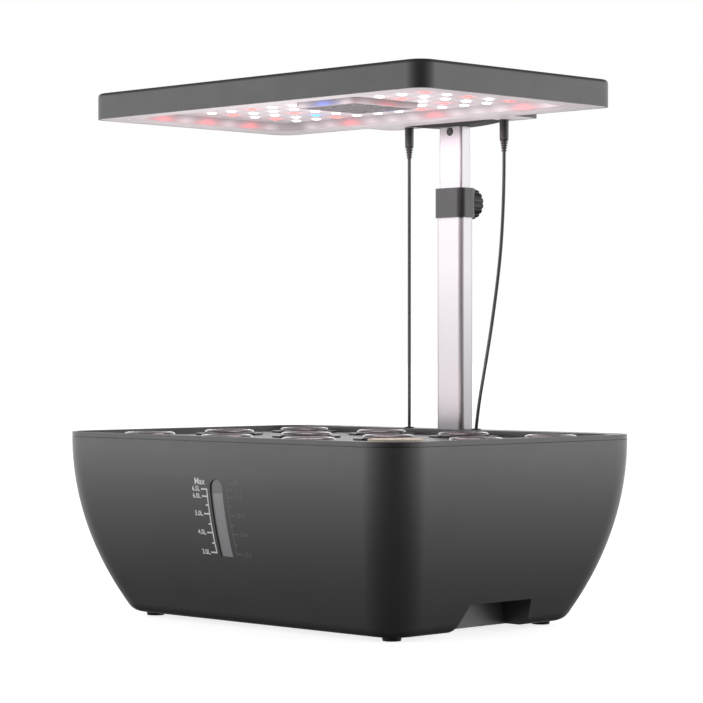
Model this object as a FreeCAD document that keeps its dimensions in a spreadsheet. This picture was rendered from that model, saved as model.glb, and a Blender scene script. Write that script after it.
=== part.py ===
"""Countertop hydroponic garden: a water tank, a lift-off deck with pods, and a lamp on a telescopic mast.

Millimetres. The origin is on the table under the middle of the whole object, +Z is up, the front
faces -Y, and X runs along the long side.
"""
import FreeCAD, Part
import math
import os
import re
import Sketcher
from FreeCAD import Rotation, Vector

SIZES = [
    ("tank_length", 355.0),
    ("tank_width", 261.5),
    ("corner_radius", 29.3),
    ("side_arc_radius", 269.0),
    ("bottom_radius", 13.0),
    ("foot_height", 3.0),
    ("seam_height", 134.8),
    ("seam_gap", 0.3),
    ("tank_wall", 2.4),
    ("window_width", 12.9),
    ("window_bottom", 52.7),
    ("window_top", 108.2),
    ("window_recess", 1.1),
    ("window_fit", 0.05),
    ("grip_top_width", 64.0),
    ("grip_bottom_width", 79.0),
    ("grip_top", 23.2),
    ("grip_reach", 54.2),
    ("grip_offset", 2.0),
    ("foot_diameter", 14.0),
    ("foot_taper", 0.6),
    ("foot_spacing_x", 248.0),
    ("foot_spacing_y", 156.0),
    ("rim_band_height", 3.4),
    ("rim_thickness", 3.2),
    ("deck_recess", 4.5),
    ("deck_thickness", 2.2),
    ("deck_fit", 0.4),
    ("ledge_depth", 21.1),
    ("pod_side_gap", 18.85),
    ("pod_front_gap", 22.35),
    ("pod_back_gap", 0.45),
    ("pod_hole_diameter", 42.8),
    ("pod_fit", 0.4),
    ("flange_diameter", 52.0),
    ("flange_thickness", 1.0),
    ("notch_width", 5.0),
    ("notch_depth", 2.5),
    ("basket_height", 42.0),
    ("basket_wall", 1.3),
    ("basket_taper", 6.0),
    ("basket_slot_width", 4.0),
    ("basket_slot_height", 16.0),
    ("sponge_height", 30.0),
    ("sponge_hole_diameter", 6.0),
    ("cap_diameter", 38.6),
    ("cap_height", 2.8),
    ("seat_gap", 0.3),
    ("mast_inset", 10.55),
    ("inner_tube_width", 23.5),
    ("inner_tube_depth", 11.5),
    ("inner_tube_wall", 1.4),
    ("inner_tube_bottom", 190.0),
    ("inner_tube_top", 388.0),
    ("tube_radius", 2.0),
    ("tube_clearance", 0.3),
    ("outer_tube_wall", 1.4),
    ("outer_tube_top", 308.5),
    ("socket_wall", 3.0),
    ("socket_depth", 7.8),
    ("socket_corner", 2.0),
    ("collar_bottom", 302.2),
    ("collar_height", 22.8),
    ("collar_wall", 1.6),
    ("screw_height", 313.8),
    ("screw_diameter", 5.0),
    ("screw_fit", 0.05),
    ("knob_diameter", 24.0),
    ("knob_thickness", 10.0),
    ("knob_gap", 0.8),
    ("knob_ribs", 16),
    ("knob_groove_radius", 1.1),
    ("knob_rim", 3.5),
    ("knob_dish", 0.8),
    ("knob_bore_depth", 8.0),
    ("screw_engagement", 6.0),
    ("button_diameter", 6.4),
    ("button_height", 368.7),
    ("button_stand", 0.7),
    ("button_fit", 0.1),
    ("button_edge", 0.6),
    ("lamp_length", 346.5),
    ("lamp_width", 204.5),
    ("lamp_center_y", 1.6),
    ("lamp_bottom", 375.2),
    ("lamp_height", 19.7),
    ("lamp_corner_radius", 13.3),
    ("lamp_edge_radius", 3.0),
    ("lamp_wall", 2.0),
    ("extension_width", 156.0),
    ("extension_overhang", 11.65),
    ("extension_radius", 8.0),
    ("bezel_width", 17.5),
    ("bezel_thickness", 1.8),
    ("bezel_fit", 0.1),
    ("bezel_corner", 8.0),
    ("flare_drop", 3.0),
    ("flare_side", 3.0),
    ("flare_gap", 1.5),
    ("vents", 7),
    ("vent_pitch", 6.0),
    ("vent_width", 2.4),
    ("vent_length", 36.0),
    ("tray_depth", 7.2),
    ("tray_slope", 5.0),
    ("tray_sheet", 0.8),
    ("board_thickness", 1.6),
    ("led_margin_x", 26.45),
    ("led_margin_y", 11.95),
    ("led_columns", 12),
    ("led_rows", 7),
    ("led_size", 5.0),
    ("led_height", 0.9),
    ("duct_center_x", 11.3),
    ("duct_width", 64.0),
    ("duct_depth", 70.0),
    ("duct_wall", 1.6),
    ("duct_drop", 4.2),
    ("duct_radius", 6.0),
    ("grille_thickness", 1.2),
    ("grille_slots", 9),
    ("fan_size", 58.0),
    ("fan_height", 9.0),
    ("fan_gap", 0.4),
    ("fan_tip_gap", 1.2),
    ("rotor_diameter", 50.0),
    ("hub_diameter", 22.0),
    ("fan_blades", 7),
    ("blade_width", 6.0),
    ("blade_thickness", 0.9),
    ("timer_length", 56.0),
    ("timer_depth", 16.0),
    ("timer_inset", 6.0),
    ("plug_left_x", -48.8),
    ("plug_right_x", 51.0),
    ("plug_diameter", 7.1),
    ("plug_body_length", 15.4),
    ("relief_length", 9.4),
    ("relief_ribs", 5),
    ("cord_diameter", 2.6),
    ("right_entry_x", 22.2),
    ("grommet_wall", 1.6),
    ("grommet_lip", 0.8),
    ("grommet_depth", 7.0),
    ("pump_width", 36.0),
    ("pump_depth", 38.0),
    ("pump_height", 28.0),
    ("pump_bottom", 48.0),
    ("pump_y", 62.0),
    ("impeller_diameter", 22.0),
]
# These follow the sizes above. Everything is drawn with the tank's middle at y = 0, and place() moves
# it forward by frame_shift, half of how far the knob stands out behind the tank.
DERIVED = [
    ("mast_y", "=tank_width/2 - mast_inset"),
    ("outer_width", "=inner_tube_width + 2*(tube_clearance + outer_tube_wall)"),
    ("outer_depth", "=inner_tube_depth + 2*(tube_clearance + outer_tube_wall)"),
    ("collar_back", "=mast_y + outer_depth/2 + collar_wall"),
    ("frame_shift", "=(collar_back + knob_gap + knob_thickness - tank_width/2)/2"),
    ("rim_top", "=seam_height + seam_gap + rim_band_height"),
    ("deck_floor", "=rim_top - deck_recess"),
    ("deck_under", "=deck_floor - deck_thickness"),
    ("outer_tube_bottom", "=deck_under - socket_depth"),
    ("pod_pitch_x", "=(tank_length - 2*(rim_thickness + pod_side_gap) - flange_diameter)/3"),
    ("pod_front_y", "=(rim_thickness + pod_front_gap + flange_diameter/2) - tank_width/2"),
    ("pod_back_y", "=tank_width/2 - ledge_depth - pod_back_gap - flange_diameter/2"),
    ("extension_reach", "=mast_y + extension_overhang - lamp_center_y - lamp_width/2"),
    ("extension_y", "=lamp_center_y + lamp_width/2 + extension_reach/2"),
    ("lamp_top", "=lamp_bottom + lamp_height"),
    ("tray_top", "=lamp_bottom + tray_depth"),
    ("led_pitch_x", "=(lamp_length - 2*(bezel_width + tray_slope + led_margin_x))/(led_columns - 1)"),
    ("led_pitch_y", "=(lamp_width - 2*(bezel_width + tray_slope + led_margin_y))/(led_rows - 1)"),
    ("cord_top", "=lamp_bottom - plug_body_length - relief_length"),
]
# The slack right cord's course: the share of the way down and the share of the way across.
CORD_COURSE = [(0, 0), (0.11, 0), (0.28, 0.066), (0.417, 0.174), (0.618, 0.43), (0.783, 0.694), (0.915, 0.917), (1, 1)]
ALIASES = {alias for alias, _ in SIZES + DERIVED}
FIRST_LIMIT = "One side"
BOTH_SIDES = "Symmetric"
ABOUT_X = Rotation(Vector(1, 0, 0), -90)

doc = FreeCAD.newDocument("HydroponicGarden")
sheet = doc.addObject("Spreadsheet::Sheet", "Sizes")
for row, (alias, value) in enumerate(SIZES + DERIVED, 1):
    sheet.set(f"A{row}", alias.replace("_", " "))
    sheet.set(f"B{row}", str(value))
    sheet.setAlias(f"B{row}", alias)
doc.recompute()
NODES = []


def size(alias):
    """Give one driving dimension as a number."""
    return float(sheet.get(alias))


def link(text):
    """Turn words such as tank_wall into references to the sheet."""
    return re.sub(r"[a-z_]+", lambda m: f"Sizes.{m.group()}" if m.group() in ALIASES else m.group(), text)


def bind(item, **expressions):
    """Bind properties of an object to the sheet."""
    for name, text in expressions.items():
        item.setExpression(name, link(str(text)))


def place(item, x="0", y="0", z="0"):
    """Bind where an object stands, moved forward into the shared frame."""
    for axis, text in (("x", x), ("y", f"({y}) - frame_shift"), ("z", z)):
        item.setExpression(f"Placement.Base.{axis}", link(str(text)))


def node(item, label):
    """Name a finished piece, which also names its file."""
    item.Label = label
    NODES.append(item)
    return item


def box(name, length, width, height, x="0", y="0", z="0"):
    """A block centred on x and y, standing on z."""
    item = doc.addObject("Part::Box", name)
    bind(item, Length=length, Width=width, Height=height)
    place(item, f"({x}) - ({length})/2", f"({y}) - ({width})/2", z)
    return item


def rod(name, radius, height, x="0", y="0", z="0"):
    """An upright cylinder standing on z."""
    item = doc.addObject("Part::Cylinder", name)
    bind(item, Radius=radius, Height=height)
    place(item, x, y, z)
    return item


def rod_y(name, radius, height, x, y, z):
    """A cylinder that runs along +Y from y."""
    item = doc.addObject("Part::Cylinder", name)
    item.Placement.Rotation = ABOUT_X
    bind(item, Radius=radius, Height=height)
    place(item, x, y, z)
    return item


def cone(name, low_radius, high_radius, height, x="0", y="0", z="0"):
    """An upright cone standing on z."""
    item = doc.addObject("Part::Cone", name)
    bind(item, Radius1=low_radius, Radius2=high_radius, Height=height)
    place(item, x, y, z)
    return item


def cut(name, base, *tools):
    """Take the tools out of the base."""
    tool = tools[0] if len(tools) == 1 else fuse(name + "_tools", *tools)
    item = doc.addObject("Part::Cut", name)
    item.Base = base
    item.Tool = tool
    return item


def fuse(name, *pieces):
    """Join pieces that touch or overlap."""
    item = doc.addObject("Part::MultiFuse", name)
    item.Shapes = list(pieces)
    return item


def group(name, *pieces):
    """Keep separate solids together as one piece of the assembly."""
    item = doc.addObject("Part::Compound", name)
    item.Links = list(pieces)
    return item


def common(name, *pieces):
    """Keep what the pieces share."""
    item = doc.addObject("Part::MultiCommon", name)
    item.Shapes = list(pieces)
    return item


def round_edges(name, base, radius, wanted):
    """Round the edges of the base that the test picks."""
    doc.recompute()
    item = doc.addObject("Part::Fillet", name)
    item.Base = base
    picked = [i for i, edge in enumerate(base.Shape.Edges, 1) if wanted(edge)]
    item.Edges = [(i, radius, radius) for i in picked]
    return item


def upright(edge):
    """True for a straight vertical edge."""
    first = edge.Vertexes[0].Point
    last = edge.Vertexes[-1].Point
    return math.hypot(first.x - last.x, first.y - last.y) < 1e-6 and abs(first.z - last.z) > 1e-6


def rounded_box(name, length, width, height, radius, x="0", y="0", z="0"):
    """A block with round upright corners."""
    return round_edges(name, box(name + "_block", length, width, height, x, y, z), radius, upright)


def body_sketch(body, name, role):
    """A sketch on one of the body's own origin planes."""
    sketch = body.newObject("Sketcher::SketchObject", name)
    plane = next(f for f in body.Origin.OriginFeatures if f.Role == role)
    sketch.AttachmentSupport = (plane, "")
    sketch.MapMode = "FlatFace"
    return sketch


def limit(sketch, expression, *constraint):
    """Add a constraint whose value follows the sheet."""
    index = sketch.addConstraint(Sketcher.Constraint(*constraint))
    sketch.setExpression(f"Constraints[{index}]", link(expression))


def pad(body, name, sketch, length, side=FIRST_LIMIT):
    """Extrude a sketch."""
    feature = body.newObject("PartDesign::Pad", name)
    feature.Profile = sketch
    feature.SideType = side
    bind(feature, Length=length)
    return feature


def hull_section(name, role, width, inset, base, length):
    """A body with the tank's boat-shaped section, drawn across the given width.

    The two sides are arcs that start upright at the seam and curve in towards the base.
    """
    body = doc.addObject("PartDesign::Body", name)
    sketch = body_sketch(body, name + "_sketch", role)
    half = size(width) / 2 - total(inset)
    arc = size("side_arc_radius") - total(inset)
    drop = size("seam_height") - total(base)
    foot = half - arc + math.sqrt(arc * arc - drop * drop)
    top = size("seam_height")
    angle = math.asin(drop / arc)
    right = Part.Circle(Vector(half - arc, top, 0), Vector(0, 0, 1), arc)
    left = Part.Circle(Vector(arc - half, top, 0), Vector(0, 0, 1), arc)
    sketch.addGeometry(Part.LineSegment(Vector(-half, top, 0), Vector(half, top, 0)))
    sketch.addGeometry(Part.ArcOfCircle(right, -angle, 0))
    sketch.addGeometry(Part.LineSegment(Vector(foot, top - drop, 0), Vector(-foot, top - drop, 0)))
    sketch.addGeometry(Part.ArcOfCircle(left, math.pi, math.pi + angle))
    sketch.addConstraint(Sketcher.Constraint("Coincident", 0, 2, 1, 2))
    sketch.addConstraint(Sketcher.Constraint("Coincident", 1, 1, 2, 1))
    sketch.addConstraint(Sketcher.Constraint("Coincident", 2, 2, 3, 2))
    sketch.addConstraint(Sketcher.Constraint("Coincident", 3, 1, 0, 1))
    sketch.addConstraint(Sketcher.Constraint("Horizontal", 2))
    sketch.addConstraint(Sketcher.Constraint("Symmetric", 0, 1, 0, 2, -2))
    sketch.addConstraint(Sketcher.Constraint("PointOnObject", 1, 3, 0))
    sketch.addConstraint(Sketcher.Constraint("PointOnObject", 3, 3, 0))
    limit(sketch, f"{width} - 2*({inset})", "DistanceX", 0, 1, 0, 2, 2 * half)
    limit(sketch, "seam_height", "DistanceY", -1, 1, 0, 1, top)
    limit(sketch, base, "DistanceY", -1, 1, 2, 1, top - drop)
    limit(sketch, f"side_arc_radius - ({inset})", "Radius", 1, arc)
    limit(sketch, f"side_arc_radius - ({inset})", "Radius", 3, arc)
    pad(body, name + "_pad", sketch, length, BOTH_SIDES)
    place(body)
    return body


def total(text):
    """The number behind a sum written in the sheet's words."""
    return sum(size(word) if word in ALIASES else float(word) for word in text.split(" + "))


def hull(name, inset, base):
    """The tank's outside, or the same form drawn in by an inset, with its corners and base rounded."""
    across = hull_section(name + "_long", "XZ_Plane", "tank_length", inset, base, "tank_width + 20")
    along = hull_section(name + "_short", "YZ_Plane", "tank_width", inset, base, "tank_length + 20")
    form = common(name + "_form", across, along)
    margin = total(inset)
    corners = round_edges(name + "_corners", form, size("corner_radius") - margin,
                          lambda edge: edge.Vertexes[0].Point.z != edge.Vertexes[-1].Point.z
                          and abs(edge.Vertexes[0].Point.z - edge.Vertexes[-1].Point.z) > size("bottom_radius"))
    floor = total(base)
    return round_edges(name, corners, size("bottom_radius") - margin,
                       lambda edge: all(abs(v.Point.z - floor) < 1e-3 for v in edge.Vertexes))


def grip_prism(name, side, margin):
    """The finger recess at one short side, a trapezoid that is open below and outwards."""
    body = doc.addObject("PartDesign::Body", name)
    sketch = body_sketch(body, name + "_sketch", "YZ_Plane")
    low = size("grip_bottom_width") / 2
    high = size("grip_top_width") / 2
    top = size("grip_top")
    points = [Vector(-low, 0, 0), Vector(low, 0, 0), Vector(high, top, 0), Vector(-high, top, 0)]
    for i in range(4):
        sketch.addGeometry(Part.LineSegment(points[i], points[(i + 1) % 4]))
    for i in range(4):
        sketch.addConstraint(Sketcher.Constraint("Coincident", i, 2, (i + 1) % 4, 1))
    sketch.addConstraint(Sketcher.Constraint("Horizontal", 0))
    sketch.addConstraint(Sketcher.Constraint("Horizontal", 2))
    limit(sketch, f"grip_bottom_width + 2*({margin})", "DistanceX", 0, 1, 0, 2, 2 * low)
    limit(sketch, f"grip_top_width + 2*({margin})", "DistanceX", 2, 2, 2, 1, 2 * high)
    limit(sketch, f"grip_offset - grip_bottom_width/2 - ({margin})", "DistanceX", -1, 1, 0, 1, -low)
    limit(sketch, f"grip_offset - grip_top_width/2 - ({margin})", "DistanceX", -1, 1, 2, 2, -high)
    limit(sketch, f"grip_top + ({margin})", "DistanceY", 0, 2, 1, 2, top)
    sketch.addConstraint(Sketcher.Constraint("PointOnObject", 0, 1, -1))
    feature = pad(body, name + "_pad", sketch, f"grip_reach + ({margin}) + 20")
    feature.Reversed = side < 0
    start = f"tank_length/2 - grip_reach - ({margin})"
    place(body, start if side > 0 else f"-({start})")
    return body


def window_prism(name, margin, depth):
    """The outline of the level window: straight sides and a round top."""
    half = f"window_width/2 - ({margin})"
    face = f"-tank_width/2 + ({depth})/2"
    body = box(name + "_block", f"2*({half})", depth, f"window_top - window_width/2 - window_bottom - ({margin})",
               "0", face, f"window_bottom + ({margin})")
    top = rod_y(name + "_top", half, depth, "0", "-tank_width/2", "window_top - window_width/2")
    return fuse(name, body, top)


def make_tank():
    """The hollow tank, its level window and its rubber feet."""
    outer = hull("tank_outer", "0", "foot_height")
    inner = hull("tank_inner", "tank_wall", "foot_height + tank_wall")
    pockets = [grip_prism(f"grip_{i}", side, "0") for i, side in enumerate((-1, 1))]
    pocket_walls = [grip_prism(f"grip_wall_{i}", side, "tank_wall") for i, side in enumerate((-1, 1))]
    cavity = cut("tank_cavity", inner, *pocket_walls)
    slot = window_prism("window_slot", "0", "50")
    shell = cut("tank_shell", outer, cavity)
    node(cut("tank_with_grips", shell, slot, *pockets), "water_tank")

    recess = hull("window_outer", "window_recess", "foot_height + window_recess")
    strip = cut("window_strip", recess, hull("window_inner", "tank_wall", "foot_height + tank_wall"))
    pane = common("window_pane", strip, window_prism("window_outline", "window_fit", "50"))
    node(pane, "level_window")

    feet = []
    for i, (x, y) in enumerate(((-1, -1), (1, -1), (-1, 1), (1, 1))):
        feet.append(cone(f"foot_{i}", "foot_diameter/2 - foot_taper", "foot_diameter/2", "foot_height",
                         f"{x}*foot_spacing_x/2", f"{y}*foot_spacing_y/2"))
    node(group("feet", *feet), "rubber_feet")


def pod_centres():
    """Give the pods' centres, row by row from the front left."""
    for row in range(3):
        for column in range(4):
            yield (f"({column} - 1.5)*pod_pitch_x", f"pod_front_y + {row}*(pod_back_y - pod_front_y)/2")


def make_deck():
    """The lift-off deck: a rim band, a recessed floor with pod holes, and a ledge behind for the mast."""
    radius = size("corner_radius")
    inner_radius = radius - size("tank_wall") - size("deck_fit")
    band = rounded_box("rim_band", "tank_length", "tank_width", "rim_band_height", radius,
                       z="seam_height + seam_gap")
    inside = "2*(tank_wall + deck_fit)"
    spigot = rounded_box("deck_spigot", f"tank_length - {inside}", f"tank_width - {inside}",
                         "deck_thickness + deck_recess - rim_band_height + 0.2", inner_radius,
                         z="deck_under")
    well_length = "tank_length - 2*rim_thickness"
    well_width = "tank_width - rim_thickness - ledge_depth"
    well = rounded_box("deck_well", well_length, well_width, "deck_recess + 1",
                       radius - size("rim_thickness"), y="(rim_thickness - ledge_depth)/2", z="deck_floor")
    holes = [rod(f"pod_hole_{i}", "pod_hole_diameter/2", "deck_thickness + 2", x, y, "deck_under - 1")
             for i, (x, y) in enumerate(pod_centres(), 1)]
    mast_hole = rounded_box("mast_hole", "outer_width", "outer_depth", "2*deck_recess + deck_thickness",
                            size("tube_radius") + size("outer_tube_wall"), "0", "mast_y", "deck_under - 1")
    entries = [rod(f"cord_hole_{side}", "cord_diameter/2 + grommet_wall", "2*deck_recess + deck_thickness", x,
                   "mast_y", "deck_under - 1")
               for side, x in (("left", "plug_left_x"), ("right", "right_entry_x"))]
    plate = fuse("deck_plate", band, spigot)
    node(cut("deck", plate, well, mast_hole, *holes, *entries), "grow_deck")

    grommets = []
    for side, x in (("left", "plug_left_x"), ("right", "right_entry_x")):
        ring = rod(f"grommet_body_{side}", "cord_diameter/2 + grommet_wall", "grommet_depth + grommet_lip", x,
                   "mast_y", "rim_top - grommet_depth")
        lip = rod(f"grommet_lip_{side}", "cord_diameter/2 + grommet_wall + grommet_lip", "grommet_lip", x,
                  "mast_y", "rim_top")
        bore = rod(f"grommet_bore_{side}", "cord_diameter/2 + 0.1", "2*grommet_depth", x, "mast_y",
                   "rim_top - 1.2*grommet_depth")
        grommets.append(cut(f"grommet_{side}", fuse(f"grommet_form_{side}", ring, lip), bore))
    node(group("grommets", *grommets), "cord_grommets")


def tube(name, width, depth, wall, radius, bottom, height):
    """A rectangular aluminium tube on the mast's axis, with round corners inside and out."""
    outside = rounded_box(name + "_outside", width, depth, height, radius, "0", "mast_y", bottom)
    inside = rounded_box(name + "_inside", f"({width}) - 2*({wall})", f"({depth}) - 2*({wall})", f"({height}) + 2",
                         max(radius - size(wall), 0.4), "0", "mast_y", f"({bottom}) - 1")
    return cut(name, outside, inside)


def make_mast():
    """The fixed outer tube in its socket, and the collar that clamps the sliding inner tube."""
    outer_radius = size("tube_radius") + size("tube_clearance") + size("outer_tube_wall")
    node(tube("outer_tube", "outer_width", "outer_depth", "outer_tube_wall", outer_radius,
              "outer_tube_bottom", "outer_tube_top - outer_tube_bottom"), "mast_outer_tube")

    block = rounded_box("socket_block", "outer_width + 2*socket_wall", "outer_depth + socket_wall",
                        "socket_depth + socket_wall", size("socket_corner"), "0",
                        "mast_y - socket_wall/2", "outer_tube_bottom - socket_wall")
    well = rounded_box("socket_well", "outer_width", "outer_depth", "2*socket_depth", outer_radius, "0", "mast_y",
                       "outer_tube_bottom")
    node(cut("socket", block, well), "mast_socket")

    collar_block = rounded_box("collar_block", "outer_width + 2*collar_wall", "outer_depth + 2*collar_wall",
                               "collar_height", outer_radius + size("collar_wall"), "0", "mast_y",
                               "collar_bottom")
    low_well = rounded_box("collar_low_well", "outer_width", "outer_depth", "outer_tube_top - collar_bottom + 5",
                           outer_radius, "0", "mast_y", "collar_bottom - 5")
    high_well = rounded_box("collar_high_well", "inner_tube_width + 2*tube_clearance",
                            "inner_tube_depth + 2*tube_clearance", "2*collar_height",
                            size("tube_radius") + size("tube_clearance"), "0", "mast_y", "collar_bottom")
    screw_hole = rod_y("collar_screw_hole", "screw_diameter/2 + screw_fit", "outer_depth", "0", "mast_y",
                       "screw_height")
    node(cut("collar", collar_block, low_well, high_well, screw_hole), "mast_collar")

    shaft = rod_y("clamp_shaft", "screw_diameter/2", "outer_tube_wall + collar_wall + knob_gap + screw_engagement",
                  "0", "mast_y + inner_tube_depth/2 + tube_clearance", "screw_height")
    node(shaft, "clamp_screw")

    knob_start = "collar_back + knob_gap"
    disc = rod_y("knob_disc", "knob_diameter/2", "knob_thickness", "0", knob_start, "screw_height")
    grooves = []
    for i in range(int(size("knob_ribs"))):
        turn = 360.0 * i / size("knob_ribs")
        radius = "(knob_diameter/2 + knob_groove_radius/4)"
        grooves.append(rod_y(f"knob_groove_{i}", "knob_groove_radius", "knob_thickness + 2",
                             f"{radius}*cos({turn})", f"{knob_start} - 1", f"screw_height + {radius}*sin({turn})"))
    bore = rod_y("knob_bore", "screw_diameter/2 + screw_fit", "knob_bore_depth", "0", knob_start, "screw_height")
    dish = rod_y("knob_dish", "knob_diameter/2 - knob_rim", "2*knob_dish", "0",
                 f"{knob_start} + knob_thickness - knob_dish", "screw_height")
    node(cut("knob", disc, bore, dish, *grooves), "clamp_knob")


def make_inner_tube():
    """The sliding inner tube, with the sprung button that locks the lamp onto it."""
    blank = tube("inner_blank", "inner_tube_width", "inner_tube_depth", "inner_tube_wall", size("tube_radius"),
                 "inner_tube_bottom", "inner_tube_top - inner_tube_bottom")
    front = "mast_y - inner_tube_depth/2"
    hole = rod_y("button_hole", "button_diameter/2 + button_fit", "inner_tube_wall + 2", "0", f"{front} - 1",
                 "button_height")
    node(cut("inner_tube", blank, hole), "mast_inner_tube")
    button = rod_y("button_stem", "button_diameter/2", "button_stand + inner_tube_wall + 1.5", "0",
                   f"{front} - button_stand", "button_height")
    face = size("mast_y") - size("inner_tube_depth") / 2 - size("frame_shift")
    head = round_edges("button", button, size("button_edge"),
                       lambda edge: edge.Vertexes[0].Point.y < face and len(edge.Vertexes) == 1)
    node(head, "lock_button")


def lamp_plan(name, margin, bottom, height):
    """The lamp's plan, a rounded rectangle with a wide extension behind for the mast."""
    corner = max(size("lamp_corner_radius") - total(margin), 1.0)
    main = rounded_box(name + "_main", f"lamp_length - 2*({margin})", f"lamp_width - 2*({margin})", height,
                       corner, "0", "lamp_center_y", bottom)
    behind = rounded_box(name + "_behind", f"extension_width - 2*({margin})",
                         f"extension_reach + 30 - 2*({margin})", height,
                         max(size("extension_radius") - total(margin), 1.0), "0",
                         "extension_y - 15", bottom)
    return fuse(name, main, behind)


def make_lamp_shell():
    """The lamp's housing, its pale bezel, and the black flare under the extension."""
    outside = round_edges("lamp_outside", lamp_plan("lamp_outline", "0", "lamp_bottom", "lamp_height"),
                          size("lamp_edge_radius"),
                          lambda edge: all(v.Point.z > size("lamp_top") - 1e-6 for v in edge.Vertexes))
    inside = lamp_plan("lamp_inside", "lamp_wall", "lamp_bottom - 1", "lamp_height - lamp_wall + 1")
    vents = []
    for i in range(int(size("vents"))):
        vents.append(box(f"vent_{i}", "vent_width", "vent_length", "2*lamp_wall + 1",
                         f"duct_center_x + ({i} - (vents - 1)/2)*vent_pitch", "lamp_center_y",
                         "lamp_top - 2*lamp_wall"))
    node(cut("housing", outside, inside, *vents), "lamp_housing")

    plate = lamp_plan("bezel_plate", "lamp_wall + bezel_fit", "lamp_bottom", "bezel_thickness")
    opening = rounded_box("bezel_opening", "lamp_length - 2*bezel_width", "lamp_width - 2*bezel_width", "10",
                          size("bezel_corner"), "0", "lamp_center_y", "lamp_bottom - 5")
    mast_slot = rounded_box("bezel_mast_slot", "inner_tube_width + 2*bezel_fit", "inner_tube_depth + 2*bezel_fit",
                            "10", size("tube_radius"), "0", "mast_y", "lamp_bottom - 5")
    sockets = [rod(f"bezel_socket_{i}", "plug_diameter/2 - 1", "10", x, "mast_y", "lamp_bottom - 5")
               for i, x in enumerate(("plug_left_x", "plug_right_x"))]
    node(cut("bezel", plate, opening, mast_slot, *sockets), "lamp_bezel")

    reach = "((plug_right_x - plug_left_x)/2 - plug_diameter/2 - flare_gap)"
    radius = f"({reach}^2 + flare_drop^2)/(2*flare_drop)"
    middle = "(plug_right_x + plug_left_x)/2"
    flare_depth = "inner_tube_depth + 2*flare_side"
    arc = rod_y("flare_arc", radius, flare_depth, middle, "mast_y - inner_tube_depth/2 - flare_side",
                f"lamp_bottom - flare_drop + {radius}")
    cover = box("flare_limit", f"2*{reach}", flare_depth, "flare_drop", middle, "mast_y",
                "lamp_bottom - flare_drop")
    flare_hole = rounded_box("flare_hole", "inner_tube_width + 2*bezel_fit", "inner_tube_depth + 2*bezel_fit",
                             "20", size("tube_radius"), "0", "mast_y", "lamp_bottom - 10")
    node(cut("flare", common("flare_form", arc, cover), flare_hole), "tube_bracket")


def make_tray():
    """The frosted tray: a thin wall that slopes in from the bezel up to the board."""
    def frustum(name, margin):
        """A four-sided tapering block between the bezel and the board."""
        item = doc.addObject("Part::Wedge", name)
        low = "lamp_bottom + bezel_thickness"
        half_x = f"(lamp_length/2 - bezel_width + {margin})"
        half_y = f"(lamp_width/2 - bezel_width + {margin})"
        bind(item, Xmin=f"-{half_x}", Xmax=half_x, Zmin=f"-{half_y}", Zmax=half_y, Ymin="0",
             Ymax=f"tray_top - ({low})", X2min=f"-({half_x} - tray_slope)", X2max=f"{half_x} - tray_slope",
             Z2min=f"-({half_y} - tray_slope)", Z2max=f"{half_y} - tray_slope")
        item.Placement.Rotation = Rotation(Vector(1, 0, 0), 90)
        place(item, "0", "lamp_center_y", low)
        return item
    node(cut("tray", frustum("tray_outside", "tray_sheet"), frustum("tray_inside", "0")), "reflector_tray")


def led_places():
    """Give each LED's column, row and centre, leaving out those behind the fan duct."""
    columns = int(size("led_columns"))
    rows = int(size("led_rows"))
    for column in range(columns):
        for row in range(rows):
            x = (column - (columns - 1) / 2) * size("led_pitch_x")
            y = (row - (rows - 1) / 2) * size("led_pitch_y")
            if abs(x - size("duct_center_x")) > size("duct_width") / 2 + size("led_size") / 2 \
                    or abs(y) > size("duct_depth") / 2 + size("led_size") / 2:
                yield column, row


def make_lights():
    """The LED board, its emitters and the timer board that drives them."""
    board = box("board_blank", "lamp_length - 2*(bezel_width + tray_slope) + 2",
                "lamp_width - 2*(bezel_width + tray_slope) + 2", "board_thickness", "0", "lamp_center_y", "tray_top")
    window = box("board_window", "fan_size + 1", "fan_size + 1", "10", "duct_center_x", "lamp_center_y",
                 "tray_top - 5")
    node(cut("board", board, window), "led_board")

    emitters = []
    for column, row in led_places():
        emitters.append(box(f"led_{column}_{row}", "led_size", "led_size", "led_height",
                            f"({column} - (led_columns - 1)/2)*led_pitch_x",
                            f"lamp_center_y + ({row} - (led_rows - 1)/2)*led_pitch_y", "tray_top - led_height"))
    node(group("leds", *emitters), "led_emitters")

    node(box("timer", "timer_length", "timer_depth", "board_thickness", "plug_right_x - timer_inset", "mast_y",
             "lamp_bottom + bezel_thickness"), "timer_board")


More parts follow.
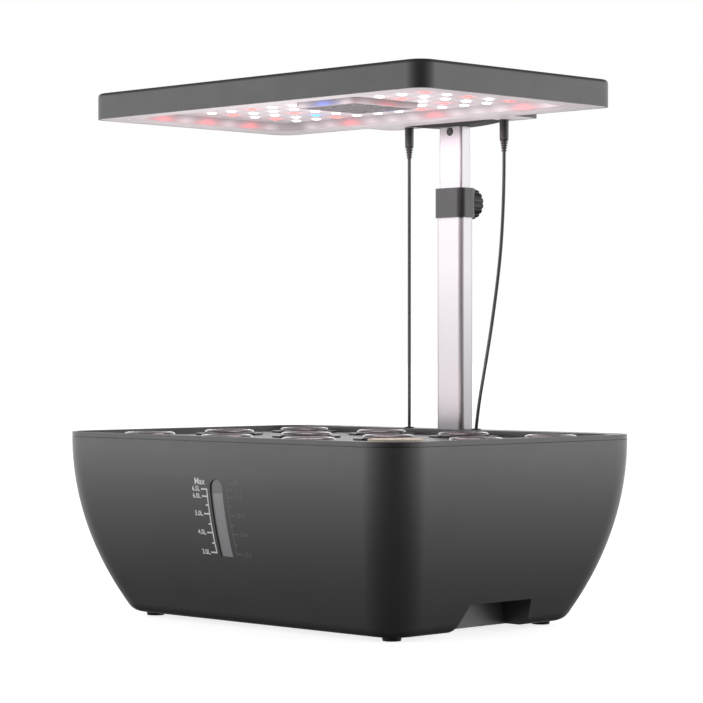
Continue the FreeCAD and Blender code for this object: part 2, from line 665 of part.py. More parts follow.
def make_fan():
    """The cooling fan: duct and grille below the board, frame and turning rotor above."""
    low = "tray_top - duct_drop"
    radius = size("duct_radius")
    inner_radius = radius - size("duct_wall")
    outer = rounded_box("duct_outside", "duct_width", "duct_depth", "duct_drop", radius, "duct_center_x",
                        "lamp_center_y", low)
    inner = rounded_box("duct_inside", "duct_width - 2*duct_wall", "duct_depth - 2*duct_wall", "3*duct_drop",
                        inner_radius, "duct_center_x", "lamp_center_y", f"{low} - duct_drop")
    node(cut("duct", outer, inner), "fan_duct")

    plate = rounded_box("grille_plate", "duct_width - 2*duct_wall - 0.1", "duct_depth - 2*duct_wall - 0.1",
                        "grille_thickness", inner_radius, "duct_center_x", "lamp_center_y", low)
    slots = []
    for i in range(int(size("grille_slots"))):
        slots.append(box(f"grille_slot_{i}", "3", "duct_depth - 4*duct_wall - 8", "10",
                         f"duct_center_x + ({i} - (grille_slots - 1)/2)*6", "lamp_center_y", f"{low} - 5"))
    bars = [box(f"grille_bar_{i}", "duct_width - 6*duct_wall", "1.6", "grille_thickness", "duct_center_x",
                f"lamp_center_y + {i}*16", low) for i in (-1, 0, 1)]
    node(fuse("grille", cut("grille_slotted", plate, *slots), *bars), "fan_grille")

    base = "tray_top + fan_gap"
    frame = rounded_box("frame_block", "fan_size", "fan_size", "fan_height", 4.0, "duct_center_x",
                        "lamp_center_y", base)
    bore = rod("frame_bore", "rotor_diameter/2 + fan_tip_gap", "fan_height", "duct_center_x", "lamp_center_y",
               f"{base} - 1.5")
    pin_hole = rod("frame_pin_hole", "1.5", "20", "duct_center_x", "lamp_center_y", base)
    node(cut("frame", frame, bore, pin_hole), "fan_frame")

    hub = rod("hub", "hub_diameter/2", "fan_height - 3", "duct_center_x", "lamp_center_y", f"{base} + 0.8")
    pin = rod("hub_pin", "1.45", "fan_height - 1.2", "duct_center_x", "lamp_center_y", f"{base} + 0.8")
    blades = []
    for i in range(int(size("fan_blades"))):
        blade = doc.addObject("Part::Box", f"fan_blade_{i}")
        bind(blade, Length="rotor_diameter/2 - hub_diameter/2 + 1", Width="blade_width",
             Height="blade_thickness")
        turn = Rotation(Vector(0, 0, 1), 360.0 * i / size("fan_blades"))
        blade.Placement.Rotation = turn.multiply(Rotation(Vector(1, 0, 0), 32))
        angle = 360.0 * i / size("fan_blades")
        place(blade, f"duct_center_x + (hub_diameter/2 - 1)*cos({angle})",
              f"lamp_center_y + (hub_diameter/2 - 1)*sin({angle})", f"{base} + 1.8")
        blades.append(blade)
    node(fuse("rotor", hub, pin, *blades), "fan_rotor")


def make_plug(side, x):
    """One cord plug: a smooth grip, then a ribbed relief that tapers to the cord."""
    grip = round_edges(f"plug_grip_{side}", rod(f"plug_grip_blank_{side}", "plug_diameter/2", "plug_body_length",
                                                x, "mast_y", "lamp_bottom - plug_body_length"),
                       0.5, lambda edge: len(edge.Vertexes) == 1 and edge.Vertexes[0].Point.z
                       > size("lamp_bottom") - 1e-3)
    pieces = [grip]
    for i in range(int(size("relief_ribs"))):
        step = "relief_length/relief_ribs"
        low = f"lamp_bottom - plug_body_length - {i + 1}*{step}"
        wide = f"plug_diameter/2 - 0.3 - {i}*0.28"
        pieces.append(rod(f"relief_rib_{side}_{i}", wide, f"{step}*0.6", x, "mast_y", f"{low} + {step}*0.4"))
        pieces.append(rod(f"relief_neck_{side}_{i}", f"{wide} - 0.5", step, x, "mast_y", low))
    return fuse(f"plug_{side}", *pieces)


def make_cords():
    """The straight left cord and the slack right cord, from the lamp's plugs down to the ledge."""
    plugs = [make_plug("left", "plug_left_x"), make_plug("right", "plug_right_x")]
    node(group("plugs", *plugs), "cord_plugs")

    node(rod("left_cord_tube", "cord_diameter/2", "cord_top - rim_top", "plug_left_x", "mast_y", "rim_top"),
         "left_cord")

    across = size("right_entry_x") - size("plug_right_x")
    down = size("rim_top") - size("cord_top")
    route = [Vector(size("plug_right_x") + aside * across, size("mast_y") - size("frame_shift"),
                    size("cord_top") + fall * down) for fall, aside in CORD_COURSE]
    tube_shape, length = cord_tube(route, size("cord_diameter") / 2)
    print("right cord: volume", round(tube_shape.Volume, 2), "section times length",
          round(length * math.pi * size("cord_diameter") ** 2 / 4, 2))
    cord = doc.addObject("Part::Feature", "right_cord_tube")
    cord.Shape = tube_shape
    node(cord, "right_cord")


def cord_tube(route, radius):
    """Sweep a round section along straight runs joined by tangent arcs.

    Each arc's radius is 0.45 of its shorter run, divided by the tangent of half the turn.
    """
    edges = []
    at = route[0]
    for before, corner, after in zip(route, route[1:], route[2:]):
        to_corner = (corner - before).normalize()
        from_corner = (after - corner).normalize()
        shorter = min((corner - before).Length, (after - corner).Length)
        turn = to_corner.getAngle(from_corner)
        reach = 0.45 * shorter
        bend = reach / math.tan(turn / 2)
        print("right cord: arc radius", round(bend, 1))
        first = corner - to_corner * reach
        last = corner + from_corner * reach
        inward = (from_corner - to_corner).normalize()
        middle = corner + inward * (math.hypot(bend, reach) - bend)
        edges.append(Part.LineSegment(at, first).toShape())
        edges.append(Part.Arc(first, middle, last).toShape())
        at = last
    edges.append(Part.LineSegment(at, route[-1]).toShape())
    path = Part.Wire(edges)
    start = (route[1] - route[0]).normalize()
    circle = Part.Wire([Part.Circle(route[0], start, radius).toShape()])
    return path.makePipeShell([circle], True, False), path.Length


def make_pump():
    """The pump under the deck: a casing hung from the deck, with an impeller chamber open below."""
    casing = rounded_box("pump_block", "pump_width", "pump_depth", "pump_height", 5.0, "0", "pump_y",
                         "pump_bottom")
    post = box("pump_post", "12", "8", "deck_under - pump_bottom - pump_height + 1", "0",
               "pump_y", "pump_bottom + pump_height - 1")
    spout = rod("pump_spout", "4", "12", "-pump_width/2 + 7", "pump_y + 10", "pump_bottom + pump_height - 1")
    spout_bore = rod("pump_spout_bore", "2.6", "14", "-pump_width/2 + 7", "pump_y + 10",
                     "pump_bottom + pump_height - 2")
    chamber = rod("pump_chamber", "impeller_diameter/2 + 1.5", "12", "0", "pump_y", "pump_bottom - 1")
    shaft_hole = rod("pump_shaft_hole", "1.55", "18", "0", "pump_y", "pump_bottom")
    node(cut("pump", fuse("pump_form", casing, post, spout), chamber, shaft_hole, spout_bore), "pump_casing")

    hub = rod("impeller_hub", "4", "8", "0", "pump_y", "pump_bottom + 1.5")
    shaft = rod("impeller_shaft", "1.5", "14", "0", "pump_y", "pump_bottom + 1.5")
    vanes = []
    for i in range(3):
        vane = doc.addObject("Part::Box", f"impeller_vane_{i}")
        bind(vane, Length="impeller_diameter", Width="1.6", Height="6")
        vane.Placement.Rotation = Rotation(Vector(0, 0, 1), 60.0 * i)
        place(vane, f"-impeller_diameter/2*cos({60 * i}) + 0.8*sin({60 * i})",
              f"pump_y - impeller_diameter/2*sin({60 * i}) - 0.8*cos({60 * i})", "pump_bottom + 2")
        vanes.append(vane)
    node(fuse("impeller", hub, shaft, *vanes), "pump_impeller")


def make_pod(number, x, y):
    """One pod: a slotted basket with its sponge, which lifts out of the deck."""
    tag = f"{number:02d}"
    seat = "deck_floor + seat_gap"
    top_radius = "pod_hole_diameter/2 - pod_fit"
    flange = rod(f"flange_{tag}", "flange_diameter/2", "flange_thickness", x, y, seat)
    wall = cone(f"basket_wall_{tag}", f"{top_radius} - basket_taper", top_radius, "basket_height", x, y,
                f"{seat} - basket_height")
    hollow = cone(f"basket_hollow_{tag}", f"{top_radius} - basket_taper - basket_wall",
                  f"{top_radius} - basket_wall", "basket_height + 0.1", x, y,
                  f"{seat} - basket_height + basket_wall")
    mouth = rod(f"basket_mouth_{tag}", f"{top_radius} - basket_wall", "3", x, y, f"{seat} - 0.2")
    slots = []
    for turn in (0, 90):
        across = box(f"basket_slot_{tag}_{turn}", "80" if turn == 0 else "basket_slot_width",
                     "basket_slot_width" if turn == 0 else "80", "basket_slot_height", x, y,
                     f"{seat} - basket_height + 4")
        slots.append(across)
    notches = []
    for i, (dx, dy) in enumerate(((1, 0), (-1, 0), (0, 1), (0, -1))):
        notches.append(box(f"notch_{tag}_{i}", "notch_depth*2" if dx else "notch_width",
                           "notch_depth*2" if dy else "notch_width", "10",
                           f"{x} + {dx}*flange_diameter/2", f"{y} + {dy}*flange_diameter/2", f"{seat} - 5"))
    basket = cut(f"basket_{tag}", fuse(f"basket_form_{tag}", flange, wall), hollow, mouth, *slots, *notches)
    sponge_top = f"{top_radius} - basket_wall - 0.1"
    sponge_blank = cone(f"sponge_blank_{tag}", f"{sponge_top} - basket_taper*sponge_height/basket_height",
                        sponge_top, "sponge_height", x, y, f"{seat} - sponge_height + flange_thickness - 0.2")
    seed_hole = rod(f"sponge_hole_{tag}", "sponge_hole_diameter/2", "8", x, y, f"{seat} - 6")
    sponge = cut(f"sponge_{tag}", sponge_blank, seed_hole)
    node(group(f"pod_{tag}", basket, sponge), f"pod_basket_{tag}")
    if number != 4:
        rim = rod(f"cap_rim_{tag}", "cap_diameter/2", "cap_height*0.4", x, y, f"{seat} + flange_thickness - 0.2")
        dome = cone(f"cap_dome_{tag}", "cap_diameter/2", "cap_diameter/2 - 3", "cap_height*0.6", x, y,
                    f"{seat} + flange_thickness - 0.2 + cap_height*0.4")
        node(fuse(f"cap_{tag}", rim, dome), f"pod_cap_{tag}")


def main():
    """Build every piece, check it and write it."""
    make_tank()
    make_deck()
    make_mast()
    make_inner_tube()
    make_lamp_shell()
    make_tray()
    make_lights()
    make_fan()
    make_cords()
    make_pump()
    for number, (x, y) in enumerate(pod_centres(), 1):
        make_pod(number, x, y)
    doc.recompute()
    for item in doc.Objects:
        if "Invalid" in item.State or "Error" in item.State:
            raise RuntimeError(f"{item.Name} failed: {item.State}")
    for item in NODES:
        if item.Shape.isNull() or not item.Shape.isValid() or not item.Shape.Solids:
            raise RuntimeError(f"{item.Label} has no sound solid")
    os.makedirs("parts", exist_ok=True)
    for item in NODES:
        item.Shape.exportStep(f"parts/{item.Label}.step")
    print(len(NODES), "nodes written")


main()
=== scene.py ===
"""Looks of a countertop hydroponic garden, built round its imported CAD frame.

The frame gives every rigid shape and place. This script dresses those nodes, and makes the pieces
that need more than CAD gives: the printed water scale, the cords and their plugs, the pod caps and
sponges, and the lit inside of the lamp. Lengths in the classes are millimetres, and Blender's own are
metres.
"""

import logging
import math
from dataclasses import dataclass
from enum import Enum
from typing import Any, Iterator

import bmesh
import bpy
from mathutils import Matrix, Vector


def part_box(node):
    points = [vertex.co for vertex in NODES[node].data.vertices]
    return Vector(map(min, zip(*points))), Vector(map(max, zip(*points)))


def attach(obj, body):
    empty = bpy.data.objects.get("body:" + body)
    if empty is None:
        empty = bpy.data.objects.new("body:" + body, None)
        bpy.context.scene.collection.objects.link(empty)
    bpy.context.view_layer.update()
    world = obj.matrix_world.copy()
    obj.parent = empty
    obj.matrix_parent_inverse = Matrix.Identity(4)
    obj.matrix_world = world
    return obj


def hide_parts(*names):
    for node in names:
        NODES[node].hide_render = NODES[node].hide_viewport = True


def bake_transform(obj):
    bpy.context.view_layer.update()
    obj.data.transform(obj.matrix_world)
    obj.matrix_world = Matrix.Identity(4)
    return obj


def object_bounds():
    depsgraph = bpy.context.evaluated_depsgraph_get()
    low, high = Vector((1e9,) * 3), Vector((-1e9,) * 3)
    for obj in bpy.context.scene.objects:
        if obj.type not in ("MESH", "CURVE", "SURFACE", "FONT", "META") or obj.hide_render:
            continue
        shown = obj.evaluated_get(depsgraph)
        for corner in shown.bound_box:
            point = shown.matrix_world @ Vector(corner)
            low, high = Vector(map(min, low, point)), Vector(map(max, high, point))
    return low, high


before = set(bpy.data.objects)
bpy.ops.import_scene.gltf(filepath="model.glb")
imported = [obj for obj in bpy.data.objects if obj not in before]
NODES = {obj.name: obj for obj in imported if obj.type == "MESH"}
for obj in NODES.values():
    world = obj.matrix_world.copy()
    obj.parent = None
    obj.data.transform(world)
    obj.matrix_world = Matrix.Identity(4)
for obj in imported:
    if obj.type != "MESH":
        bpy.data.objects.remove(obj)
CAD_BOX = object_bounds()
MM = 0.001
POD_COLUMNS = 4
POD_ROWS = 3
OPEN_POD = 4
log = logging.getLogger("garden")


def linear(code: str) -> tuple[float, float, float, float]:
    """Turn an sRGB hex colour into Blender's linear colour.

    Args:
        code: The colour as six hex digits after a hash mark.

    Returns:
        Red, green and blue in linear light, with full alpha.
    """
    shares = [int(code[i:i + 2], 16) / 255 for i in (1, 3, 5)]
    red, green, blue = (s / 12.92 if s <= 0.04045 else ((s + 0.055) / 1.055) ** 2.4 for s in shares)
    return red, green, blue, 1.0


def add_node(tree: bpy.types.NodeTree, kind: str, inputs: dict[Any, Any] | None = None,
             **settings: Any) -> bpy.types.Node:
    """Add one node with its settings, its socket values and its links.

    Args:
        tree: The node tree that gets the node.
        kind: The node's Blender type.
        inputs: Socket names or numbers, each with a value or with the output that feeds it.
        settings: The node's own properties.

    Returns:
        The new node.
    """
    item = tree.nodes.new(kind)
    for name, value in settings.items():
        setattr(item, name, value)
    for name, value in (inputs or {}).items():
        if isinstance(value, bpy.types.NodeSocket):
            tree.links.new(value, item.inputs[name])
        else:
            item.inputs[name].default_value = value
    return item


def blank_material(name: str) -> tuple[bpy.types.Material, bpy.types.NodeTree, bpy.types.NodeSocket]:
    """Start a material.

    Args:
        name: What the material is.

    Returns:
        The material, its empty tree and an output that gives Object coordinates.
    """
    material = bpy.data.materials.new(name)
    material.use_nodes = True
    tree = material.node_tree
    tree.nodes.clear()
    coordinates = add_node(tree, "ShaderNodeTexCoord")
    return material, tree, coordinates.outputs["Object"]


def close_material(tree: bpy.types.NodeTree, inputs: dict[Any, Any]) -> None:
    """End a material in one Principled shader.

    Args:
        tree: The material's tree.
        inputs: The shader's socket values and links.
    """
    shader = add_node(tree, "ShaderNodeBsdfPrincipled", inputs)
    add_node(tree, "ShaderNodeOutputMaterial", {"Surface": shader.outputs["BSDF"]})


def mottle(tree: bpy.types.NodeTree, where: bpy.types.NodeSocket, patch: float, first: str,
           second: str) -> bpy.types.NodeSocket:
    """Blend two near shades in soft patches, as pigment and handling leave them.

    Args:
        tree: The material's tree.
        where: Object coordinates.
        patch: The patches' size in millimetres.
        first: One shade as hex.
        second: The other shade as hex.

    Returns:
        The blended colour.
    """
    noise = add_node(tree, "ShaderNodeTexNoise", {"Vector": where, "Scale": 1 / (patch * MM), "Detail": 4.0})
    return add_node(tree, "ShaderNodeMix", {0: noise.outputs["Fac"], 6: linear(first), 7: linear(second)},
                    data_type="RGBA").outputs[2]


@dataclass(frozen=True)
class MouldedPlastic:
    """Injection-moulded plastic with a spark-eroded grain: a soft sheen that breaks up close to."""

    name: str
    colour: str
    shade: str
    roughness: float = 0.42
    grain: float = 0.8
    depth: float = 0.02
    ior: float = 1.52

    def build(self) -> bpy.types.Material:
        """Make the material."""
        material, tree, where = blank_material(self.name)
        colour = mottle(tree, where, 40.0, self.colour, self.shade)
        grain = add_node(tree, "ShaderNodeTexNoise",
                         {"Vector": where, "Scale": 1 / (self.grain * MM), "Detail": 3.0})
        wear = add_node(tree, "ShaderNodeTexNoise", {"Vector": where, "Scale": 1 / (18 * MM), "Detail": 5.0})
        rough = add_node(tree, "ShaderNodeMapRange",
                         {"Value": wear.outputs["Fac"], "To Min": self.roughness - 0.05,
                          "To Max": self.roughness + 0.05})
        bump = add_node(tree, "ShaderNodeBump", {"Height": grain.outputs["Fac"], "Distance": self.depth * MM,
                                                 "Strength": 0.6})
        close_material(tree, {"Base Color": colour, "Roughness": rough.outputs["Result"], "IOR": self.ior,
                              "Normal": bump.outputs["Normal"]})
        return material


@dataclass(frozen=True)
class ExtrudedMetal:
    """Anodised or drawn metal: fine lines run along the pull, and a painted shade darkens it towards the
    deck, away from the lamp's light.
    """

    name: str
    colour: str
    shade: str
    roughness: float = 0.3
    line: float = 0.5
    run: float = 80.0
    painted_shade_bottom: float = 130.0
    painted_shade_top: float = 265.0
    painted_shade_darkest: float = 0.55

    def build(self) -> bpy.types.Material:
        """Make the material."""
        material, tree, where = blank_material(self.name)
        across = 1 / (self.line * MM)
        stretched = add_node(tree, "ShaderNodeMapping",
                             {"Vector": where, "Scale": (across, across, 1 / (self.run * MM))})
        lines = add_node(tree, "ShaderNodeTexNoise", {"Vector": stretched.outputs["Vector"], "Scale": 1.0,
                                                      "Detail": 2.0})
        colour = add_node(tree, "ShaderNodeMix", {0: lines.outputs["Fac"], 6: linear(self.colour),
                                                  7: linear(self.shade)}, data_type="RGBA")
        split = add_node(tree, "ShaderNodeSeparateXYZ", {"Vector": where})
        # painted shade: the colour is multiplied darker towards the deck, standing in for less of the lamp's
        # light there
        painted_shade = add_node(tree, "ShaderNodeMapRange",
                         {"Value": split.outputs["Z"], "From Min": self.painted_shade_bottom * MM,
                          "From Max": self.painted_shade_top * MM, "To Min": self.painted_shade_darkest, "To Max": 1.0})
        shaded_colour = add_node(tree, "ShaderNodeMix", {0: 1.0, 6: colour.outputs[2], 7: painted_shade.outputs["Result"]},
                          data_type="RGBA", blend_type="MULTIPLY")
        rough = add_node(tree, "ShaderNodeMapRange",
                         {"Value": lines.outputs["Fac"], "To Min": self.roughness - 0.04,
                          "To Max": self.roughness + 0.06})
        bump = add_node(tree, "ShaderNodeBump", {"Height": lines.outputs["Fac"], "Distance": 0.01 * MM,
                                                 "Strength": 0.3})
        close_material(tree, {"Base Color": shaded_colour.outputs[2], "Metallic": 0.85,
                              "Roughness": rough.outputs["Result"], "Normal": bump.outputs["Normal"]})
        return material


@dataclass(frozen=True)
class WaterWindow:
    """Clear polycarbonate with moulded rungs: paler where water stands behind it than where air does, with
    painted shade in the grooves between the rungs.
    """

    name: str
    wet: str
    dry: str
    level: float
    rung: float = 1.6

    def build(self) -> bpy.types.Material:
        """Make the material."""
        material, tree, where = blank_material(self.name)
        split = add_node(tree, "ShaderNodeSeparateXYZ", {"Vector": where})
        above = add_node(tree, "ShaderNodeMapRange",
                         {"Value": split.outputs["Z"], "From Min": self.level * MM,
                          "From Max": (self.level + 0.4) * MM})
        rungs = add_node(tree, "ShaderNodeTexWave",
                         {"Vector": where, "Scale": math.pi / (10 * self.rung * MM)},
                         wave_type="BANDS", bands_direction="Z")
        # painted shade: the grooves between the rungs are coloured up to seven per cent darker
        groove_shade = add_node(tree, "ShaderNodeMapRange",
                         {"Value": rungs.outputs["Fac"], "To Min": 0.93, "To Max": 1.0})
        tone = add_node(tree, "ShaderNodeMix", {0: above.outputs["Result"], 6: linear(self.wet),
                                                7: linear(self.dry)}, data_type="RGBA")
        groove_shaded_tone = add_node(tree, "ShaderNodeMix", {0: 1.0, 6: tone.outputs[2], 7: groove_shade.outputs["Result"]},
                         data_type="RGBA", blend_type="MULTIPLY")
        bump = add_node(tree, "ShaderNodeBump", {"Height": rungs.outputs["Fac"], "Distance": 0.05 * MM,
                                                 "Strength": 0.4})
        close_material(tree, {"Base Color": groove_shaded_tone.outputs[2], "Roughness": 0.16, "IOR": 1.58,
                              "Transmission Weight": 0.08, "Normal": bump.outputs["Normal"]})
        return material


@dataclass(frozen=True)
class PrintAndPaintedReflection:
    """Pad-printed ink: flat and slightly uneven where the pad let go; also laid on as a painted reflection of
    a print.
    """

    name: str
    colour: str
    shade: str

    def build(self) -> bpy.types.Material:
        """Make the material."""
        material, tree, where = blank_material(self.name)
        close_material(tree, {"Base Color": mottle(tree, where, 1.5, self.colour, self.shade),
                              "Roughness": 0.5, "Sheen Weight": 0.3})
        return material


@dataclass(frozen=True)
class MilkyCap:
    """Translucent polypropylene, moulded thin: light soaks in and the rim catches it."""

    name: str
    colour: str
    shade: str

    def build(self) -> bpy.types.Material:
        """Make the material."""
        material, tree, where = blank_material(self.name)
        rings = add_node(tree, "ShaderNodeTexNoise",
                         {"Vector": where, "Scale": 1 / (1.2 * MM), "Detail": 2.0})
        bump = add_node(tree, "ShaderNodeBump", {"Height": rings.outputs["Fac"], "Distance": 0.02 * MM,
                                                 "Strength": 0.5})
        close_material(tree, {"Base Color": mottle(tree, where, 12.0, self.colour, self.shade),
                              "Roughness": 0.2, "IOR": 1.49, "Transmission Weight": 0.45,
                              "Coat Weight": 0.4, "Coat Roughness": 0.12, "Normal": bump.outputs["Normal"]})
        return material


@dataclass(frozen=True)
class FoamSponge:
    """Open-cell growing sponge: pale, dry and pitted by its cells, with painted shade darkening the pits."""

    name: str
    colour: str
    pit_shade: str
    cell: float = 0.9

    def build(self) -> bpy.types.Material:
        """Make the material."""
        material, tree, where = blank_material(self.name)
        cells = add_node(tree, "ShaderNodeTexVoronoi", {"Vector": where, "Scale": 1 / (self.cell * MM)})
        deep = add_node(tree, "ShaderNodeMapRange", {"Value": cells.outputs["Distance"], "From Min": 0.1,
                                                     "From Max": 0.6})
        # painted shade: the pits of the cells take the darker colour
        colour = add_node(tree, "ShaderNodeMix", {0: deep.outputs["Result"], 6: linear(self.pit_shade),
                                                  7: linear(self.colour)}, data_type="RGBA")
        bump = add_node(tree, "ShaderNodeBump", {"Height": deep.outputs["Result"], "Distance": 0.3 * MM,
                                                 "Strength": 0.8})
        close_material(tree, {"Base Color": colour.outputs[2], "Roughness": 0.9,
                              "Normal": bump.outputs["Normal"]})
        return material


@dataclass(frozen=True)
class LitSheet:
    """A frosted sheet or white board lit by the lamp: it glows as its own glow attribute says."""

    name: str
    colour: str
    shade: str
    roughness: float = 0.35
    brightness: float = 1.0

    def build(self) -> bpy.types.Material:
        """Make the material."""
        material, tree, where = blank_material(self.name)
        glow = add_node(tree, "ShaderNodeAttribute", attribute_name="glow")
        frost = add_node(tree, "ShaderNodeTexNoise",
                         {"Vector": where, "Scale": 1 / (0.9 * MM), "Detail": 3.0})
        bump = add_node(tree, "ShaderNodeBump", {"Height": frost.outputs["Fac"], "Distance": 0.02 * MM,
                                                 "Strength": 0.5})
        close_material(tree, {"Base Color": mottle(tree, where, 25.0, self.colour, self.shade),
                              "Roughness": self.roughness, "Emission Color": glow.outputs["Color"],
                              "Emission Strength": self.brightness, "Normal": bump.outputs["Normal"]})
        return material


@dataclass(frozen=True)
class LedLens:
    """A lit LED under its silicone lens: nearly even, and a little cooler between the chips."""

    name: str
    colour: str
    edge: str
    strength: float

    def build(self) -> bpy.types.Material:
        """Make the material."""
        material, tree, where = blank_material(self.name)
        light = mottle(tree, where, 2.0, self.colour, self.edge)
        close_material(tree, {"Base Color": light, "Roughness": 0.3, "Emission Color": light,
                              "Emission Strength": self.strength})
        return material


class Finish(Enum):
    """Every finish of the garden, named for what it is."""

    TANK_ABS = MouldedPlastic("satin charcoal ABS of the tank", "#4a4a4c", "#4f4f51", 0.40, 0.7)
    DECK_ABS = MouldedPlastic("satin charcoal ABS of the deck", "#3d3d3f", "#434345", 0.38, 0.7)
    LAMP_ABS = MouldedPlastic("satin charcoal ABS of the lamp", "#424244", "#474749", 0.42, 0.7)
    BLACK_ABS = MouldedPlastic("matt black ABS", "#18181a", "#1e1e20", 0.5, 0.9)
    GLOSS_NYLON = MouldedPlastic("semi-gloss black nylon", "#0e0e10", "#131315", 0.34, 1.2, 0.015)
    RUBBER = MouldedPlastic("black rubber", "#161617", "#1b1b1c", 0.75, 0.5, 0.03)
    CORD_PVC = MouldedPlastic("soft black PVC", "#242426", "#2a2a2c", 0.4, 0.6)
    BEZEL = MouldedPlastic("pale grey ABS", "#d9d9da", "#e1e1e2", 0.45, 0.7)
    GRILLE = MouldedPlastic("mid grey ABS", "#8c8c8f", "#98989b", 0.5, 0.8)
    POLYPROPYLENE = MouldedPlastic("black polypropylene", "#1c1c1e", "#232325", 0.36, 1.0)
    CIRCUIT = MouldedPlastic("green solder mask", "#12462b", "#185434", 0.35, 0.6)
    ANODISED = ExtrudedMetal("silver anodised aluminium", "#a09da0", "#aca9ac", 0.36)
    ZINC = ExtrudedMetal("zinc-plated steel", "#b9bbbd", "#c6c8ca", 0.28, 0.3, 4.0)
    WINDOW = WaterWindow("ribbed clear polycarbonate", "#b0aeb1", "#8f8e90", 98.0)
    WHITE_INK = PrintAndPaintedReflection("white pad-printed ink", "#ffffff", "#f6f6f6")
    # painted reflection: the white scale's mirror image, laid on as grey ink
    SCALE_REFLECTION_INK = PrintAndPaintedReflection("grey ink for the painted scale reflection", "#6a6a6c", "#626264")
    CAP = MilkyCap("translucent polypropylene", "#7d7679", "#6b6568")
    # the sponge's second colour is painted shade for its pits
    SPONGE = FoamSponge("open-cell growing sponge", "#e2dac4", "#a89e86")
    TRAY = LitSheet("frosted polystyrene sheet", "#a09ea0", "#aba8aa", 0.32)
    BOARD = LitSheet("white solder mask", "#cdccce", "#d6d5d7", 0.4)
    LED_WHITE = LedLens("lit white LED", "#ffffff", "#fff4f0", 3.2)
    LED_RED = LedLens("lit red LED", "#ff5a5a", "#ff7f7a", 2.2)
    LED_BLUE = LedLens("lit blue LED", "#3f8cff", "#58b4ff", 2.2)

    def material(self) -> bpy.types.Material:
        """Give this finish's material, made once."""
        return bpy.data.materials.get(self.value.name) or self.value.build()


def dress(name: str, finish: Finish) -> None:
    """Give a carried-over CAD node its finish.

    Args:
        name: The node.
        finish: What it is made of.
    """
    mesh = NODES[name].data
    mesh.materials.clear()
    mesh.materials.append(finish.material())


def finish_piece(name: str, form: bmesh.types.BMesh, finish: Finish, body: str | None,
                 smooth: float = 35.0) -> bpy.types.Object:
    """Turn a bmesh in metres and in place into a finished piece.

    Args:
        name: The piece.
        form: Its shape, which this frees.
        finish: What it is made of.
        body: The CAD body that it rides on, or None if it rides on none.
        smooth: The angle in degrees past which an edge stays sharp.

    Returns:
        The piece.
    """
    bmesh.ops.remove_doubles(form, verts=form.verts, dist=0.001 * MM)
    bmesh.ops.recalc_face_normals(form, faces=form.faces)
    for face in form.faces:
        face.smooth = True
    for edge in form.edges:
        edge.smooth = len(edge.link_faces) == 2 and edge.calc_face_angle(0.0) < math.radians(smooth)
    mesh = bpy.data.meshes.new(name)
    form.to_mesh(mesh)
    form.free()
    mesh.materials.append(finish.material())
    piece = bpy.data.objects.new(name, mesh)
    bpy.context.scene.collection.objects.link(piece)
    if body:
        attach(piece, body)
    return piece


def turned(profile: list[tuple[float, float]], centre: Vector, steps: int = 48) -> bmesh.types.BMesh:
    """Spin a profile round an upright axis.

    Args:
        profile: Radius and height of each point, in metres; an end on the axis closes the shape.
        centre: A point on the axis.
        steps: How many sides the round has.

    Returns:
        The turned shape.
    """
    form = bmesh.new()
    corners = [form.verts.new((centre.x + radius, centre.y, height)) for radius, height in profile]
    edges = [form.edges.new(pair) for pair in zip(corners, corners[1:])]
    bmesh.ops.spin(form, geom=corners + edges, cent=centre, axis=(0, 0, 1), angle=math.tau, steps=steps,
                   use_merge=True)
    bmesh.ops.remove_doubles(form, verts=form.verts, dist=0.001 * MM)
    return form


